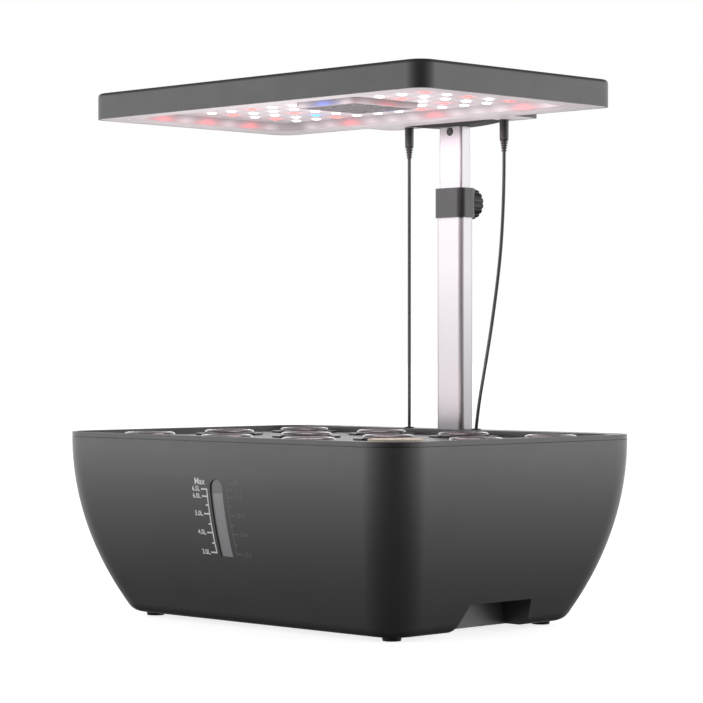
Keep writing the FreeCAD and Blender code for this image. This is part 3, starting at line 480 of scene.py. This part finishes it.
@dataclass
class Tank:
    """The boat-shaped water tank with its window, feet, printed scale and the scale's painted reflection."""

    arc_radius: float = 269.0
    print_height: float = 0.06
    line_x: float = -9.7
    reflection_x: float = 11.3
    line_width: float = 1.1
    long_tick: float = 6.1
    short_tick: float = 2.9
    number_size: float = 4.9
    word_size: float = 6.6
    number_width: float = 1.0
    number_weight: float = 0.12
    marks: tuple[tuple[float, str], ...] = (
        (100.9, "6.5L"), (95.8, "6.0L"), (89.5, ""), (83.2, "5.0L"), (75.9, ""), (69.7, "4.0L"), (62.2, ""),
        (55.3, "3.0L"))
    number_gap: float = 1.2
    top_word: str = "Max"
    top_word_height: float = 106.2
    top_word_gap: float = 1.5

    def press(self, form: bmesh.types.BMesh) -> None:
        """Lay a flat print, drawn in x and z, on the curved front face.

        Args:
            form: The print.
        """
        low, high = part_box("water_tank")
        radius = self.arc_radius * MM
        for corner in form.verts:
            drop = high.z - corner.co.z
            corner.co.y = low.y + radius - math.sqrt(radius * radius - drop * drop) - self.print_height * MM

    def bar(self, form: bmesh.types.BMesh, low: tuple[float, float], high: tuple[float, float]) -> None:
        """Add a printed bar between two corners.

        Args:
            form: The print.
            low: Its lowest x and z.
            high: Its highest x and z.
        """
        rungs = max(1, round((high[1] - low[1]) / 2))
        place = Matrix.Translation(Vector((low[0] + high[0], 0, low[1] + high[1])) * MM / 2)
        scale = Matrix.Diagonal(((high[0] - low[0]) * MM / 2, (high[1] - low[1]) * MM / 2, 1, 1))
        bmesh.ops.create_grid(form, x_segments=1, y_segments=rungs, size=1.0,
                              matrix=place @ Matrix.Rotation(math.pi / 2, 4, "X") @ scale)

    def letters(self, form: bmesh.types.BMesh, text: str, right: float, height: float, size: float,
                side: int) -> None:
        """Add a number or word.

        Args:
            form: The print.
            text: What it says.
            right: Where it ends, as an x.
            height: The middle of its height.
            size: The letters' size.
            side: 1 for the scale on the left, -1 for its mirror image, the painted reflection.
        """
        curve = bpy.data.curves.new(text, "FONT")
        curve.body = text
        curve.size = size * MM
        curve.offset = self.number_weight * MM
        curve.align_x = "RIGHT"
        curve.align_y = "CENTER"
        holder = bpy.data.objects.new(text, curve)
        mesh = bpy.data.meshes.new_from_object(holder)
        stand = Matrix.Rotation(math.pi / 2, 4, "X") @ Matrix.Diagonal((self.number_width * side, 1, 1, 1))
        mesh.transform(Matrix.Translation((right * MM, 0, height * MM)) @ stand)
        form.from_mesh(mesh)
        bpy.data.meshes.remove(mesh)
        bpy.data.objects.remove(holder)
        bpy.data.curves.remove(curve)

    def scale(self, name: str, line: float, side: int, finish: Finish, slot: str) -> None:
        """Print one scale, also used for the scale's painted reflection: an upright line with ticks, numbers
        and a word at the top.

        Args:
            name: The piece.
            line: The upright line's x.
            side: 1 where the ticks point left, -1 for the mirror image, painted as a reflection.
            finish: The ink.
            slot: The record's material slot; not used.
        """
        form = bmesh.new()
        half = self.line_width / 2
        self.bar(form, (line - half, self.marks[-1][0] - half), (line + half, self.marks[0][0] + half))
        for height, number in self.marks:
            tick = self.long_tick if number else self.short_tick
            ends = sorted((line - side * half, line - side * tick))
            self.bar(form, (ends[0], height - half), (ends[1], height + half))
            if number:
                self.letters(form, number, line - side * (self.long_tick + self.number_gap), height,
                             self.number_size, side)
        self.letters(form, self.top_word, line - side * self.top_word_gap, self.top_word_height,
                     self.word_size, side)
        self.press(form)
        finish_piece(name, form, finish, "tank")

    def build(self) -> None:
        """Dress the tank, print its scale and paint the scale's reflection."""
        dress("water_tank", Finish.TANK_ABS)
        dress("level_window", Finish.WINDOW)
        dress("rubber_feet", Finish.RUBBER)
        self.scale("scale_white", self.line_x, 1, Finish.WHITE_INK, "bezel_grey")
        # painted reflection: a grey mirror image of the white scale on the window's other side
        self.scale("scale_reflection", self.reflection_x, -1, Finish.SCALE_REFLECTION_INK, "lamp_abs")
        log.info("tank: scale of %d marks on each side of the window", len(self.marks))


@dataclass
class Deck:
    """The lift-off deck with its cord grommets, mast socket and pump."""

    def build(self) -> None:
        """Dress the deck's nodes."""
        dress("grow_deck", Finish.DECK_ABS)
        dress("cord_grommets", Finish.RUBBER)
        dress("mast_socket", Finish.BLACK_ABS)
        dress("pump_casing", Finish.BLACK_ABS)
        dress("pump_impeller", Finish.POLYPROPYLENE)
        log.info("deck: dressed")


@dataclass
class Pods:
    """The pods: a CAD basket each, a sponge, and a cap on all but one."""

    sponge_height: float = 30.0
    sponge_taper: float = 4.286
    sponge_edge: float = 0.8
    sponge_rise: float = 0.05
    open_rise: float = 3.6
    sponge_radius: float = 19.65
    sponge_depth: float = 0.2
    seed_radius: float = 3.0
    seed_depth: float = 6.0
    cap_skin: float = 0.7
    cap_lift: float = 0.12
    ring_width: float = 2.2
    dish_depth: float = 1.3
    cap_steps: int = 64
    cap_smooth: float = 50.0

    def sponge(self, number: int) -> None:
        """Make one sponge, a tapered plug with a seed hole, a hair larger than its CAD solid.

        Args:
            number: The pod.
        """
        low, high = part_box(f"pod_basket_{number:02d}")
        centre = (low + high) / 2
        radius = self.sponge_radius * MM
        seat = high.z - self.sponge_depth * MM + self.sponge_rise * MM
        top = seat + (self.open_rise * MM if number == OPEN_POD else 0.0)
        foot = seat - self.sponge_height * MM
        edge = self.sponge_edge * MM
        profile = [(0.0, top - self.seed_depth * MM), (self.seed_radius * MM, top - self.seed_depth * MM),
                   (self.seed_radius * MM, top - edge / 2), (self.seed_radius * MM + edge / 2, top),
                   (radius - edge, top), (radius - edge * 0.3, top - edge * 0.3), (radius, top - edge),
                   (radius, seat - edge), (radius - self.sponge_taper * MM, foot), (0.0, foot)]
        finish_piece(f"sponge_{number:02d}", turned(profile, centre), Finish.SPONGE, f"pod_{number:02d}")

    def cap(self, number: int) -> None:
        """Make one cap: a thin dished disc with a raised ring and a skirt.

        Args:
            number: The pod.
        """
        node = f"pod_cap_{number:02d}"
        low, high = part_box(node)
        centre = (low + high) / 2
        outer = (high.x - low.x) / 2
        foot = low.z + self.cap_lift * MM
        ring = self.ring_width * MM
        skin = self.cap_skin * MM
        dish = high.z - self.dish_depth * MM
        profile = [(0.0, dish), (outer - 2.6 * ring, dish), (outer - 1.9 * ring, high.z - 0.2 * MM),
                   (outer - 1.2 * ring, high.z), (outer - 0.5 * ring, high.z - 0.35 * MM),
                   (outer - 0.1 * ring, high.z - 1.2 * MM), (outer, foot + 0.3 * MM),
                   (outer - 0.1 * MM, foot), (outer - skin, foot),
                   (outer - skin - 0.15 * ring, high.z - 1.5 * MM),
                   (outer - 1.2 * ring, high.z - skin), (outer - 1.8 * ring, high.z - skin - 0.2 * MM),
                   (outer - 2.7 * ring, dish - skin), (0.0, dish - skin)]
        form = turned(profile, centre, self.cap_steps)
        piece = finish_piece(f"cap_{number:02d}", form, Finish.CAP, f"pod_{number:02d}",
                             self.cap_smooth)
        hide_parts(node)

    def build(self) -> None:
        """Build every pod."""
        count = POD_COLUMNS * POD_ROWS
        for number in range(1, count + 1):
            dress(f"pod_basket_{number:02d}", Finish.POLYPROPYLENE)
            self.sponge(number)
            if number != OPEN_POD:
                self.cap(number)
        log.info("pods: %d sponges and %d caps", count, count - 1)


@dataclass
class Mast:
    """The telescopic mast with its clamp."""

    def build(self) -> None:
        """Dress the mast's nodes."""
        dress("mast_outer_tube", Finish.ANODISED)
        dress("mast_inner_tube", Finish.ANODISED)
        dress("mast_collar", Finish.GLOSS_NYLON)
        dress("clamp_knob", Finish.BLACK_ABS)
        dress("clamp_screw", Finish.ZINC)
        dress("lock_button", Finish.GLOSS_NYLON)
        log.info("mast: dressed")


class LedColour(Enum):
    """What an LED gives, as linear light."""

    WHITE = (0.62, 0.58, 0.6)
    RED = (1.25, 0.14, 0.17)
    BLUE = (0.12, 0.22, 1.0)


@dataclass(frozen=True)
class Led:
    """One LED of the board."""

    x: float
    y: float
    colour: LedColour


@dataclass
class Lamp:
    """The grow lamp: housing, bezel, frosted tray, board, LEDs, duct and fan."""

    columns: int = 12
    rows: int = 7
    bevel: float = 0.7
    pitch: float = 2.0
    reach: float = 40.0
    halo: float = 5.0
    halo_share: float = 0.4
    wall_gain: float = 3000.0
    duct_gain: float = 2800.0
    board_gain: float = 40.0
    margin: float = 9.0
    duct_wall: float = 1.6
    duct_radius: float = 6.0
    duct_frame: float = 1.9
    tray_slope: float = 5.0
    tray_sheet: float = 0.8
    tray_radius: float = 7.0
    led_side: float = 5.0
    led_seat: float = 0.35
    led_blur: float = 4.0

    def leds(self) -> Iterator[Led]:
        """Give each LED that the board carries, in metres."""
        low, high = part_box("led_emitters")
        duct_low, duct_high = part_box("fan_duct")
        size = self.led_side * MM
        step_x = (high.x - low.x - size) / (self.columns - 1)
        step_y = (high.y - low.y - size) / (self.rows - 1)
        for column in range(self.columns):
            for row in range(self.rows):
                x = low.x + size / 2 + column * step_x
                y = low.y + size / 2 + row * step_y
                behind = (duct_low.x - size / 2 < x < duct_high.x + size / 2
                          and duct_low.y - size / 2 < y < duct_high.y + size / 2)
                if not behind:
                    yield Led(x, y, self.colour(column, row))

    def colour(self, column: int, row: int) -> LedColour:
        """Say which colour stands at a place, as the photograph shows them.

        Args:
            column: Counted from the left, seen from the front.
            row: Counted from the front.

        Returns:
            The LED's colour.
        """
        if column in (2, 6) and row in (1, 5):
            return LedColour.BLUE
        if column % 2 == 0 and (row + column // 2) % 2 == 1:
            return LedColour.RED
        return LedColour.WHITE

    def add_leds(self, colour: LedColour, finish: Finish) -> bpy.types.Object:
        """Make all LEDs of one colour as one piece, each a chamfered lens.

        Args:
            colour: The colour.
            finish: Its lens.

        Returns:
            The piece.
        """
        low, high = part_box("led_emitters")
        form = bmesh.new()
        depth = high.z - low.z
        for led in self.leds():
            if led.colour == colour:
                place = Matrix.Translation((led.x, led.y, low.z + depth / 2))
                shape = Matrix.Diagonal((self.led_side * MM, self.led_side * MM, depth, 1))
                bmesh.ops.create_cube(form, size=1.0, matrix=place @ shape)
        rims = [edge for edge in form.edges if all(v.co.z < low.z + depth / 2 for v in edge.verts)]
        bmesh.ops.bevel(form, geom=rims, offset=self.bevel * MM, segments=2, profile=0.5, affect="EDGES",
                        material=-1)
        return finish_piece(f"leds_{colour.name.lower()}", form, finish, "lamp")

    def light_up(self, piece: bpy.types.Object, gain: float, halo: bool) -> None:
        """Work out how brightly each point of a lit sheet glows, and keep it as the glow attribute.

        Args:
            piece: The sheet.
            gain: How strongly it glows.
            halo: True where it also shows a soft ring of light round each LED.
        """
        low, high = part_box("led_emitters")
        near = self.margin * MM
        leds = list(self.leds())
        glow = piece.data.color_attributes.new("glow", "FLOAT_COLOR", "POINT")
        for vertex, value in zip(piece.data.vertices, glow.data):
            total = Vector((0.0, 0.0, 0.0))
            x = min(max(vertex.co.x, low.x - near), high.x + near)
            y = min(max(vertex.co.y, low.y - near), high.y + near)
            for led in leds:
                aside = math.hypot(x - led.x, y - led.y) / MM
                if aside > self.reach:
                    continue
                below = max((high.z - vertex.co.z) / MM, 0.0)
                span = aside * aside + below * below + self.led_blur
                share = gain * (self.led_seat + below) / span ** 2
                if halo:
                    share += self.halo_share * math.exp(-(aside / self.halo) ** 2 / 2)
                total += Vector(led.colour.value) * share
            value.color = (*total, 1.0)

    def walls(self, form: bmesh.types.BMesh, low: Vector, high: Vector, slope: float, radius: float) -> None:
        """Add four walls that lean in towards the top, cut finely enough to carry the glow.

        Args:
            form: The sheet.
            low: The lowest corner of their foot.
            high: The highest corner, over the foot.
            slope: How far the top leans in.
            radius: The round of the upright corners.
        """
        middle = (low + high) / 2
        size = high - low
        made = bmesh.ops.create_cube(form, size=1.0, matrix=Matrix.Translation(middle)
                                     @ Matrix.Diagonal((size.x, size.y, size.z, 1)))
        caps = [face for face in form.faces if abs(face.normal.z) > 0.9]
        bmesh.ops.delete(form, geom=caps, context="FACES_ONLY")
        for corner in made["verts"]:
            if corner.co.z > middle.z:
                corner.co.x -= math.copysign(slope, corner.co.x - middle.x)
                corner.co.y -= math.copysign(slope, corner.co.y - middle.y)
        upright = [edge for edge in form.edges if abs(edge.verts[0].co.z - edge.verts[1].co.z) > size.z / 2]
        bmesh.ops.bevel(form, geom=upright, offset=radius, segments=5, profile=0.5, affect="EDGES",
                        material=-1)
        upright = [edge for edge in form.edges if abs(edge.verts[0].co.z - edge.verts[1].co.z) > size.z / 2]
        bmesh.ops.subdivide_edges(form, edges=upright, cuts=4, use_grid_fill=True)
        for axis in (0, 1):
            along = [edge for edge in form.edges
                     if abs(edge.verts[0].co[axis] - edge.verts[1].co[axis]) > radius]
            bmesh.ops.subdivide_edges(form, edges=along, cuts=round(size[axis] / (self.pitch * MM)),
                                      use_grid_fill=True)

    def tray(self) -> None:
        """Make the frosted tray that slopes from the bezel up to the board."""
        low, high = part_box("reflector_tray")
        inset = Vector((self.tray_sheet, self.tray_sheet, 0)) * MM
        form = bmesh.new()
        self.walls(form, low + inset * 0.5, high - inset * 0.5, self.tray_slope * MM, self.tray_radius * MM)
        bmesh.ops.recalc_face_normals(form, faces=form.faces)
        bmesh.ops.solidify(form, geom=form.faces[:], thickness=-0.4 * self.tray_sheet * MM)
        piece = finish_piece("lit_tray", form, Finish.TRAY, "lamp")
        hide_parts("reflector_tray")
        self.light_up(piece, self.wall_gain, False)

    def duct(self) -> None:
        """Make the fan duct that stands down from the board."""
        low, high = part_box("fan_duct")
        form = bmesh.new()
        self.walls(form, low, high, 0.0, self.duct_radius * MM)
        bmesh.ops.recalc_face_normals(form, faces=form.faces)
        bmesh.ops.solidify(form, geom=form.faces[:], thickness=self.duct_wall * MM)
        piece = finish_piece("lit_duct", form, Finish.TRAY, "lamp")
        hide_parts("fan_duct")
        self.light_up(piece, self.duct_gain, False)

    def board(self) -> None:
        """Make the board, with the fan's opening, and its light round each LED."""
        low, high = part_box("led_board")
        duct_low, duct_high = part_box("fan_duct")
        inset = Vector((self.duct_wall, self.duct_wall, 0)) * self.duct_frame * MM
        inner_low = duct_low + inset
        inner_high = duct_high - inset
        form = bmesh.new()
        middle = (low + high) / 2
        size = high - low
        bmesh.ops.create_grid(form, x_segments=round(size.x / (self.pitch * MM)),
                              y_segments=round(size.y / (self.pitch * MM)), size=0.5,
                              matrix=Matrix.Translation((middle.x, middle.y, low.z))
                              @ Matrix.Diagonal((size.x, size.y, 1, 1)))
        for axis in (0, 1):
            normal = Vector((1 - axis, axis, 0))
            for at in (inner_low[axis], inner_high[axis]):
                bmesh.ops.bisect_plane(form, geom=form.verts[:] + form.edges[:] + form.faces[:],
                                       plane_co=normal * at, plane_no=normal)
        hole = [face for face in form.faces
                if all(inner_low[i] < face.calc_center_median()[i] < inner_high[i] for i in (0, 1))]
        bmesh.ops.delete(form, geom=hole, context="FACES")
        raised = bmesh.ops.extrude_face_region(form, geom=form.faces[:])["geom"]
        bmesh.ops.translate(form, verts=[v for v in raised if isinstance(v, bmesh.types.BMVert)],
                            vec=(0, 0, size.z))
        piece = finish_piece("lit_board", form, Finish.BOARD, "lamp")
        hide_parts("led_board")
        self.light_up(piece, self.board_gain, True)

    def build(self) -> None:
        """Dress the lamp and build its lit inside."""
        dress("lamp_housing", Finish.LAMP_ABS)
        dress("lamp_bezel", Finish.BEZEL)
        dress("tube_bracket", Finish.BLACK_ABS)
        dress("timer_board", Finish.CIRCUIT)
        dress("fan_grille", Finish.GRILLE)
        dress("fan_frame", Finish.BLACK_ABS)
        dress("fan_rotor", Finish.BLACK_ABS)
        self.tray()
        self.duct()
        self.board()
        lenses = {LedColour.WHITE: Finish.LED_WHITE, LedColour.RED: Finish.LED_RED,
                  LedColour.BLUE: Finish.LED_BLUE}
        made = [self.add_leds(colour, finish) for colour, finish in lenses.items()]
        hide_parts("led_emitters")
        log.info("lamp: %d LEDs lit", len(list(self.leds())))


@dataclass
class Plugs:
    """The two plugs under the lamp: a smooth grip, then a ribbed relief that tapers to the cord."""

    grip_radius: float = 3.55
    grip_foot_radius: float = 3.4
    grip_length: float = 15.4
    ribs: int = 5
    rib_radius: float = 3.25
    rib_step: float = 0.28
    groove: float = 0.95
    neck_radius: float = 1.5
    grip_edge: float = 0.4
    steps: int = 32

    def plug(self, name: str, x: float) -> bpy.types.Object:
        """Make one plug.

        Args:
            name: The piece.
            x: Where it stands, in millimetres.

        Returns:
            The piece.
        """
        low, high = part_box("cord_plugs")
        centre = Vector((x * MM, (low.y + high.y) / 2, low.z))
        grip_foot = high.z - self.grip_length * MM
        step = (grip_foot - low.z) / self.ribs
        profile = [(0.0, low.z)]
        for i in range(self.ribs):
            radius = self.rib_radius - self.rib_step * (self.ribs - 1 - i)
            neck = max(radius - self.groove, self.neck_radius) * MM
            foot = low.z + i * step
            profile += [(neck, foot), (neck, foot + 0.4 * step), (radius * MM, foot + 0.5 * step),
                        (radius * MM, foot + 0.92 * step), (neck, foot + step)]
        edge = self.grip_edge * MM
        profile += [(self.grip_foot_radius * MM - edge, grip_foot),
                    (self.grip_foot_radius * MM, grip_foot + edge), (self.grip_radius * MM, high.z),
                    (0.0, high.z)]
        return finish_piece(name, turned(profile, centre, self.steps), Finish.CORD_PVC, "lamp")

    def build(self) -> tuple[bpy.types.Object, bpy.types.Object]:
        """Make both plugs.

        Returns:
            The left and the right plug.
        """
        left = self.plug("plug_left", LEFT_CORD.start_x)
        right = self.plug("plug_right", RIGHT_CORD.start_x)
        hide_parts("cord_plugs")
        log.info("plugs: %d ribs on each", self.ribs)
        return left, right


@dataclass(frozen=True)
class Cord:
    """One lead between a plug under the lamp and a grommet in the deck."""

    name: str
    node: str
    start_x: float
    end_x: float
    length: float
    course: tuple[tuple[float, float], ...]
    lay: str
    diameter: float = 2.6

    def route(self) -> list[Vector]:
        """The cord's points in metres, from the plug down to the grommet."""
        low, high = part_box(self.node)
        depth = (low.y + high.y) / 2
        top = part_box("cord_plugs")[0].z
        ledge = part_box("grow_deck")[1].z
        return [Vector(((self.start_x + aside * (self.end_x - self.start_x)) * MM, depth,
                        top + fall * (ledge - top))) for fall, aside in self.course]

    def spline(self, thickness: float) -> bpy.types.Object:
        """Draw the route as one smooth curve.

        Args:
            thickness: The tube's radius in metres, or 0 for the bare line.

        Returns:
            A curve object that isn't in the scene.
        """
        curve = bpy.data.curves.new(self.name, "CURVE")
        curve.dimensions = "3D"
        curve.bevel_depth = thickness
        curve.bevel_resolution = 5
        curve.use_fill_caps = thickness > 0
        line = curve.splines.new("NURBS")
        points = self.route()
        line.points.add(len(points) - 1)
        for point, place in zip(line.points, points):
            point.co = (*place, 1.0)
        line.order_u = 3
        line.use_endpoint_u = True
        line.resolution_u = 8
        return bpy.data.objects.new(self.name, curve)

    def build(self, plug: bpy.types.Object) -> None:
        """Make the cord that runs between the deck and the lamp.

        Args:
            plug: The plug at its upper end; not used.
        """
        bare = self.spline(0.0)
        traced = bpy.data.meshes.new_from_object(bare)
        path = [vertex.co.copy() for vertex in traced.vertices]
        round_line = self.spline(self.diameter / 2 * MM)
        mesh = bpy.data.meshes.new_from_object(round_line)
        form = bmesh.new()
        form.from_mesh(mesh)
        for scrap in (bare, round_line):
            shape = scrap.data
            bpy.data.objects.remove(scrap)
            bpy.data.curves.remove(shape)
        bpy.data.meshes.remove(traced)
        bpy.data.meshes.remove(mesh)
        piece = finish_piece(self.name, form, Finish.CORD_PVC, None, 80.0)
        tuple(path[-1])
        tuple(path[0])
        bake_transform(piece)
        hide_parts(self.node)
        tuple(path[0])
        log.info("%s: %.1f mm", self.name, self.length)


LEFT_CORD = Cord("cord_left", "left_cord", -48.8, -48.8, 211.9, ((0, 0), (0.5, 0), (1, 0)), "taut")
RIGHT_CORD = Cord("cord_right", "right_cord", 51.0, 22.2, 214.4,
                  ((0, 0), (0.11, 0), (0.28, 0.066), (0.417, 0.174), (0.618, 0.43), (0.783, 0.694),
                   (0.915, 0.917), (1, 1)), "hanging")


@dataclass
class Studio:
    """The floor, the light and the camera."""

    camera_place: tuple[float, float, float] = (1349.0, -1346.75, 197.9)
    camera_azimuth: float = 45.0
    camera_pitch: float = 0.021
    lens: float = 131.29
    sensor: float = 36.0
    floor_size: float = 60.0
    floor_lift: float = 0.8

    def floor(self) -> None:
        """Lay a pale floor that takes a soft shadow and throws no light back up."""
        form = bmesh.new()
        bmesh.ops.create_grid(form, x_segments=1, y_segments=1, size=self.floor_size / 2)
        mesh = bpy.data.meshes.new("floor")
        form.to_mesh(mesh)
        form.free()
        floor = bpy.data.objects.new("floor", mesh)
        bpy.context.scene.collection.objects.link(floor)
        material, tree, where = blank_material("pale matt floor")
        close_material(tree, {"Base Color": mottle(tree, where, 400.0, "#f4f4f4", "#f7f7f7"),
                              "Roughness": 0.9, "Specular IOR Level": 0.1,
                              "Emission Color": linear("#ffffff"),
                              "Emission Strength": self.floor_lift})
        mesh.materials.append(material)
        floor.visible_glossy = False
        floor.visible_diffuse = False
        floor.visible_transmission = False

    def softbox(self, name: str, place: tuple[float, float, float], aim: tuple[float, float, float],
                size: tuple[float, float], power: float, colour: str = "#ffffff") -> None:
        """Add a rectangular softbox.

        Args:
            name: The light.
            place: Where it stands, in metres.
            aim: The point that it faces, in metres.
            size: Its width and height in metres.
            power: Its watts.
            colour: Its colour as hex.
        """
        light = bpy.data.lights.new(name, "AREA")
        light.shape = "RECTANGLE"
        light.size, light.size_y = size
        light.energy = power
        light.color = linear(colour)[:3]
        lamp = bpy.data.objects.new(name, light)
        lamp.location = place
        lamp.rotation_euler = (Vector(aim) - Vector(place)).to_track_quat("-Z", "Y").to_euler()
        lamp.visible_camera = False
        bpy.context.scene.collection.objects.link(lamp)

    def lights(self) -> None:
        """Light both visible sides evenly, and light the growing space from the lamp and off the deck."""
        low, high = CAD_BOX
        middle = (low.z + high.z) / 2
        self.softbox("left box", (-1.35, -1.35, 0.5), (0, 0, middle), (1.2, 1.2), 7.0)
        self.softbox("right box", (1.35, 1.35, 0.5), (0, 0, middle), (1.2, 1.2), 7.0)
        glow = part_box("led_emitters")[0].z
        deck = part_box("grow_deck")[1].z
        self.softbox("lamp glow", (0.0, 0.0, glow - 0.012), (0, 0, 0), (0.27, 0.14), 0.55, "#ffecf7")
        self.softbox("light off the deck", (0.0, -0.03, deck + 0.004), (0, -0.03, glow), (0.28, 0.14), 0.85,
                     "#fff0f3")

    def surroundings(self) -> None:
        """Make the surroundings white to the eye, and as light darker below, above and by the camera."""
        world = bpy.data.worlds.new("studio")
        bpy.context.scene.world = world
        world.use_nodes = True
        tree = world.node_tree
        tree.nodes.clear()
        direction = add_node(tree, "ShaderNodeTexCoord")
        split = add_node(tree, "ShaderNodeSeparateXYZ", {"Vector": direction.outputs["Generated"]})
        rise = add_node(tree, "ShaderNodeMapRange", {"Value": split.outputs["Z"], "From Min": -0.5,
                                                     "From Max": 0.0, "To Min": 0.02, "To Max": 2.9})
        fade = add_node(tree, "ShaderNodeMapRange", {"Value": split.outputs["Z"], "From Min": 0.1,
                                                     "From Max": 0.6, "To Min": 0.8, "To Max": 0.06})
        azimuth = math.radians(self.camera_azimuth)
        front = add_node(tree, "ShaderNodeVectorMath",
                         {0: direction.outputs["Generated"], 1: (math.sin(azimuth), -math.cos(azimuth), 0.0)},
                         operation="DOT_PRODUCT")
        shade = add_node(tree, "ShaderNodeMapRange", {"Value": front.outputs["Value"], "From Min": 0.45,
                                                      "From Max": 0.97, "To Min": 1.0, "To Max": 0.05})
        sky = add_node(tree, "ShaderNodeMath", {0: rise.outputs["Result"], 1: fade.outputs["Result"]},
                       operation="MULTIPLY")
        strength = add_node(tree, "ShaderNodeMath", {0: sky.outputs["Value"], 1: shade.outputs["Result"]},
                            operation="MULTIPLY")
        ray = add_node(tree, "ShaderNodeLightPath")
        ambient = add_node(tree, "ShaderNodeBackground", {"Strength": strength.outputs["Value"]})
        seen = add_node(tree, "ShaderNodeBackground", {"Color": linear("#ffffff"), "Strength": 1.0})
        mixed = add_node(tree, "ShaderNodeMixShader", {0: ray.outputs["Is Camera Ray"],
                                                       1: ambient.outputs["Background"],
                                                       2: seen.outputs["Background"]})
        add_node(tree, "ShaderNodeOutputWorld", {"Surface": mixed.outputs["Shader"]})

    def camera(self) -> None:
        """Set up the camera where the photograph was taken from."""
        data = bpy.data.cameras.new("camera")
        data.sensor_width = self.sensor
        data.lens = self.lens
        data.clip_start = 0.05
        data.clip_end = 200.0
        camera = bpy.data.objects.new("camera", data)
        azimuth = math.radians(self.camera_azimuth)
        pitch = math.radians(self.camera_pitch)
        forward = Vector((-math.sin(azimuth) * math.cos(pitch), math.cos(azimuth) * math.cos(pitch),
                          math.sin(pitch)))
        camera.location = Vector(self.camera_place) * MM
        camera.rotation_euler = forward.to_track_quat("-Z", "Y").to_euler()
        bpy.context.scene.collection.objects.link(camera)
        bpy.context.scene.camera = camera

    def build(self) -> None:
        """Build the studio."""
        bpy.context.scene.view_settings.view_transform = "Standard"
        self.floor()
        self.lights()
        self.surroundings()
        self.camera()


def main() -> None:
    """Build every sub-assembly in order and the studio round it."""
    logging.basicConfig(level=logging.INFO, format="%(name)s %(message)s")
    Studio().build()
    left_plug, right_plug = Plugs().build()
    LEFT_CORD.build(left_plug)
    RIGHT_CORD.build(right_plug)
    Tank().build()
    Deck().build()
    Pods().build()
    Mast().build()
    Lamp().build()


if __name__ == "__main__":
    main()
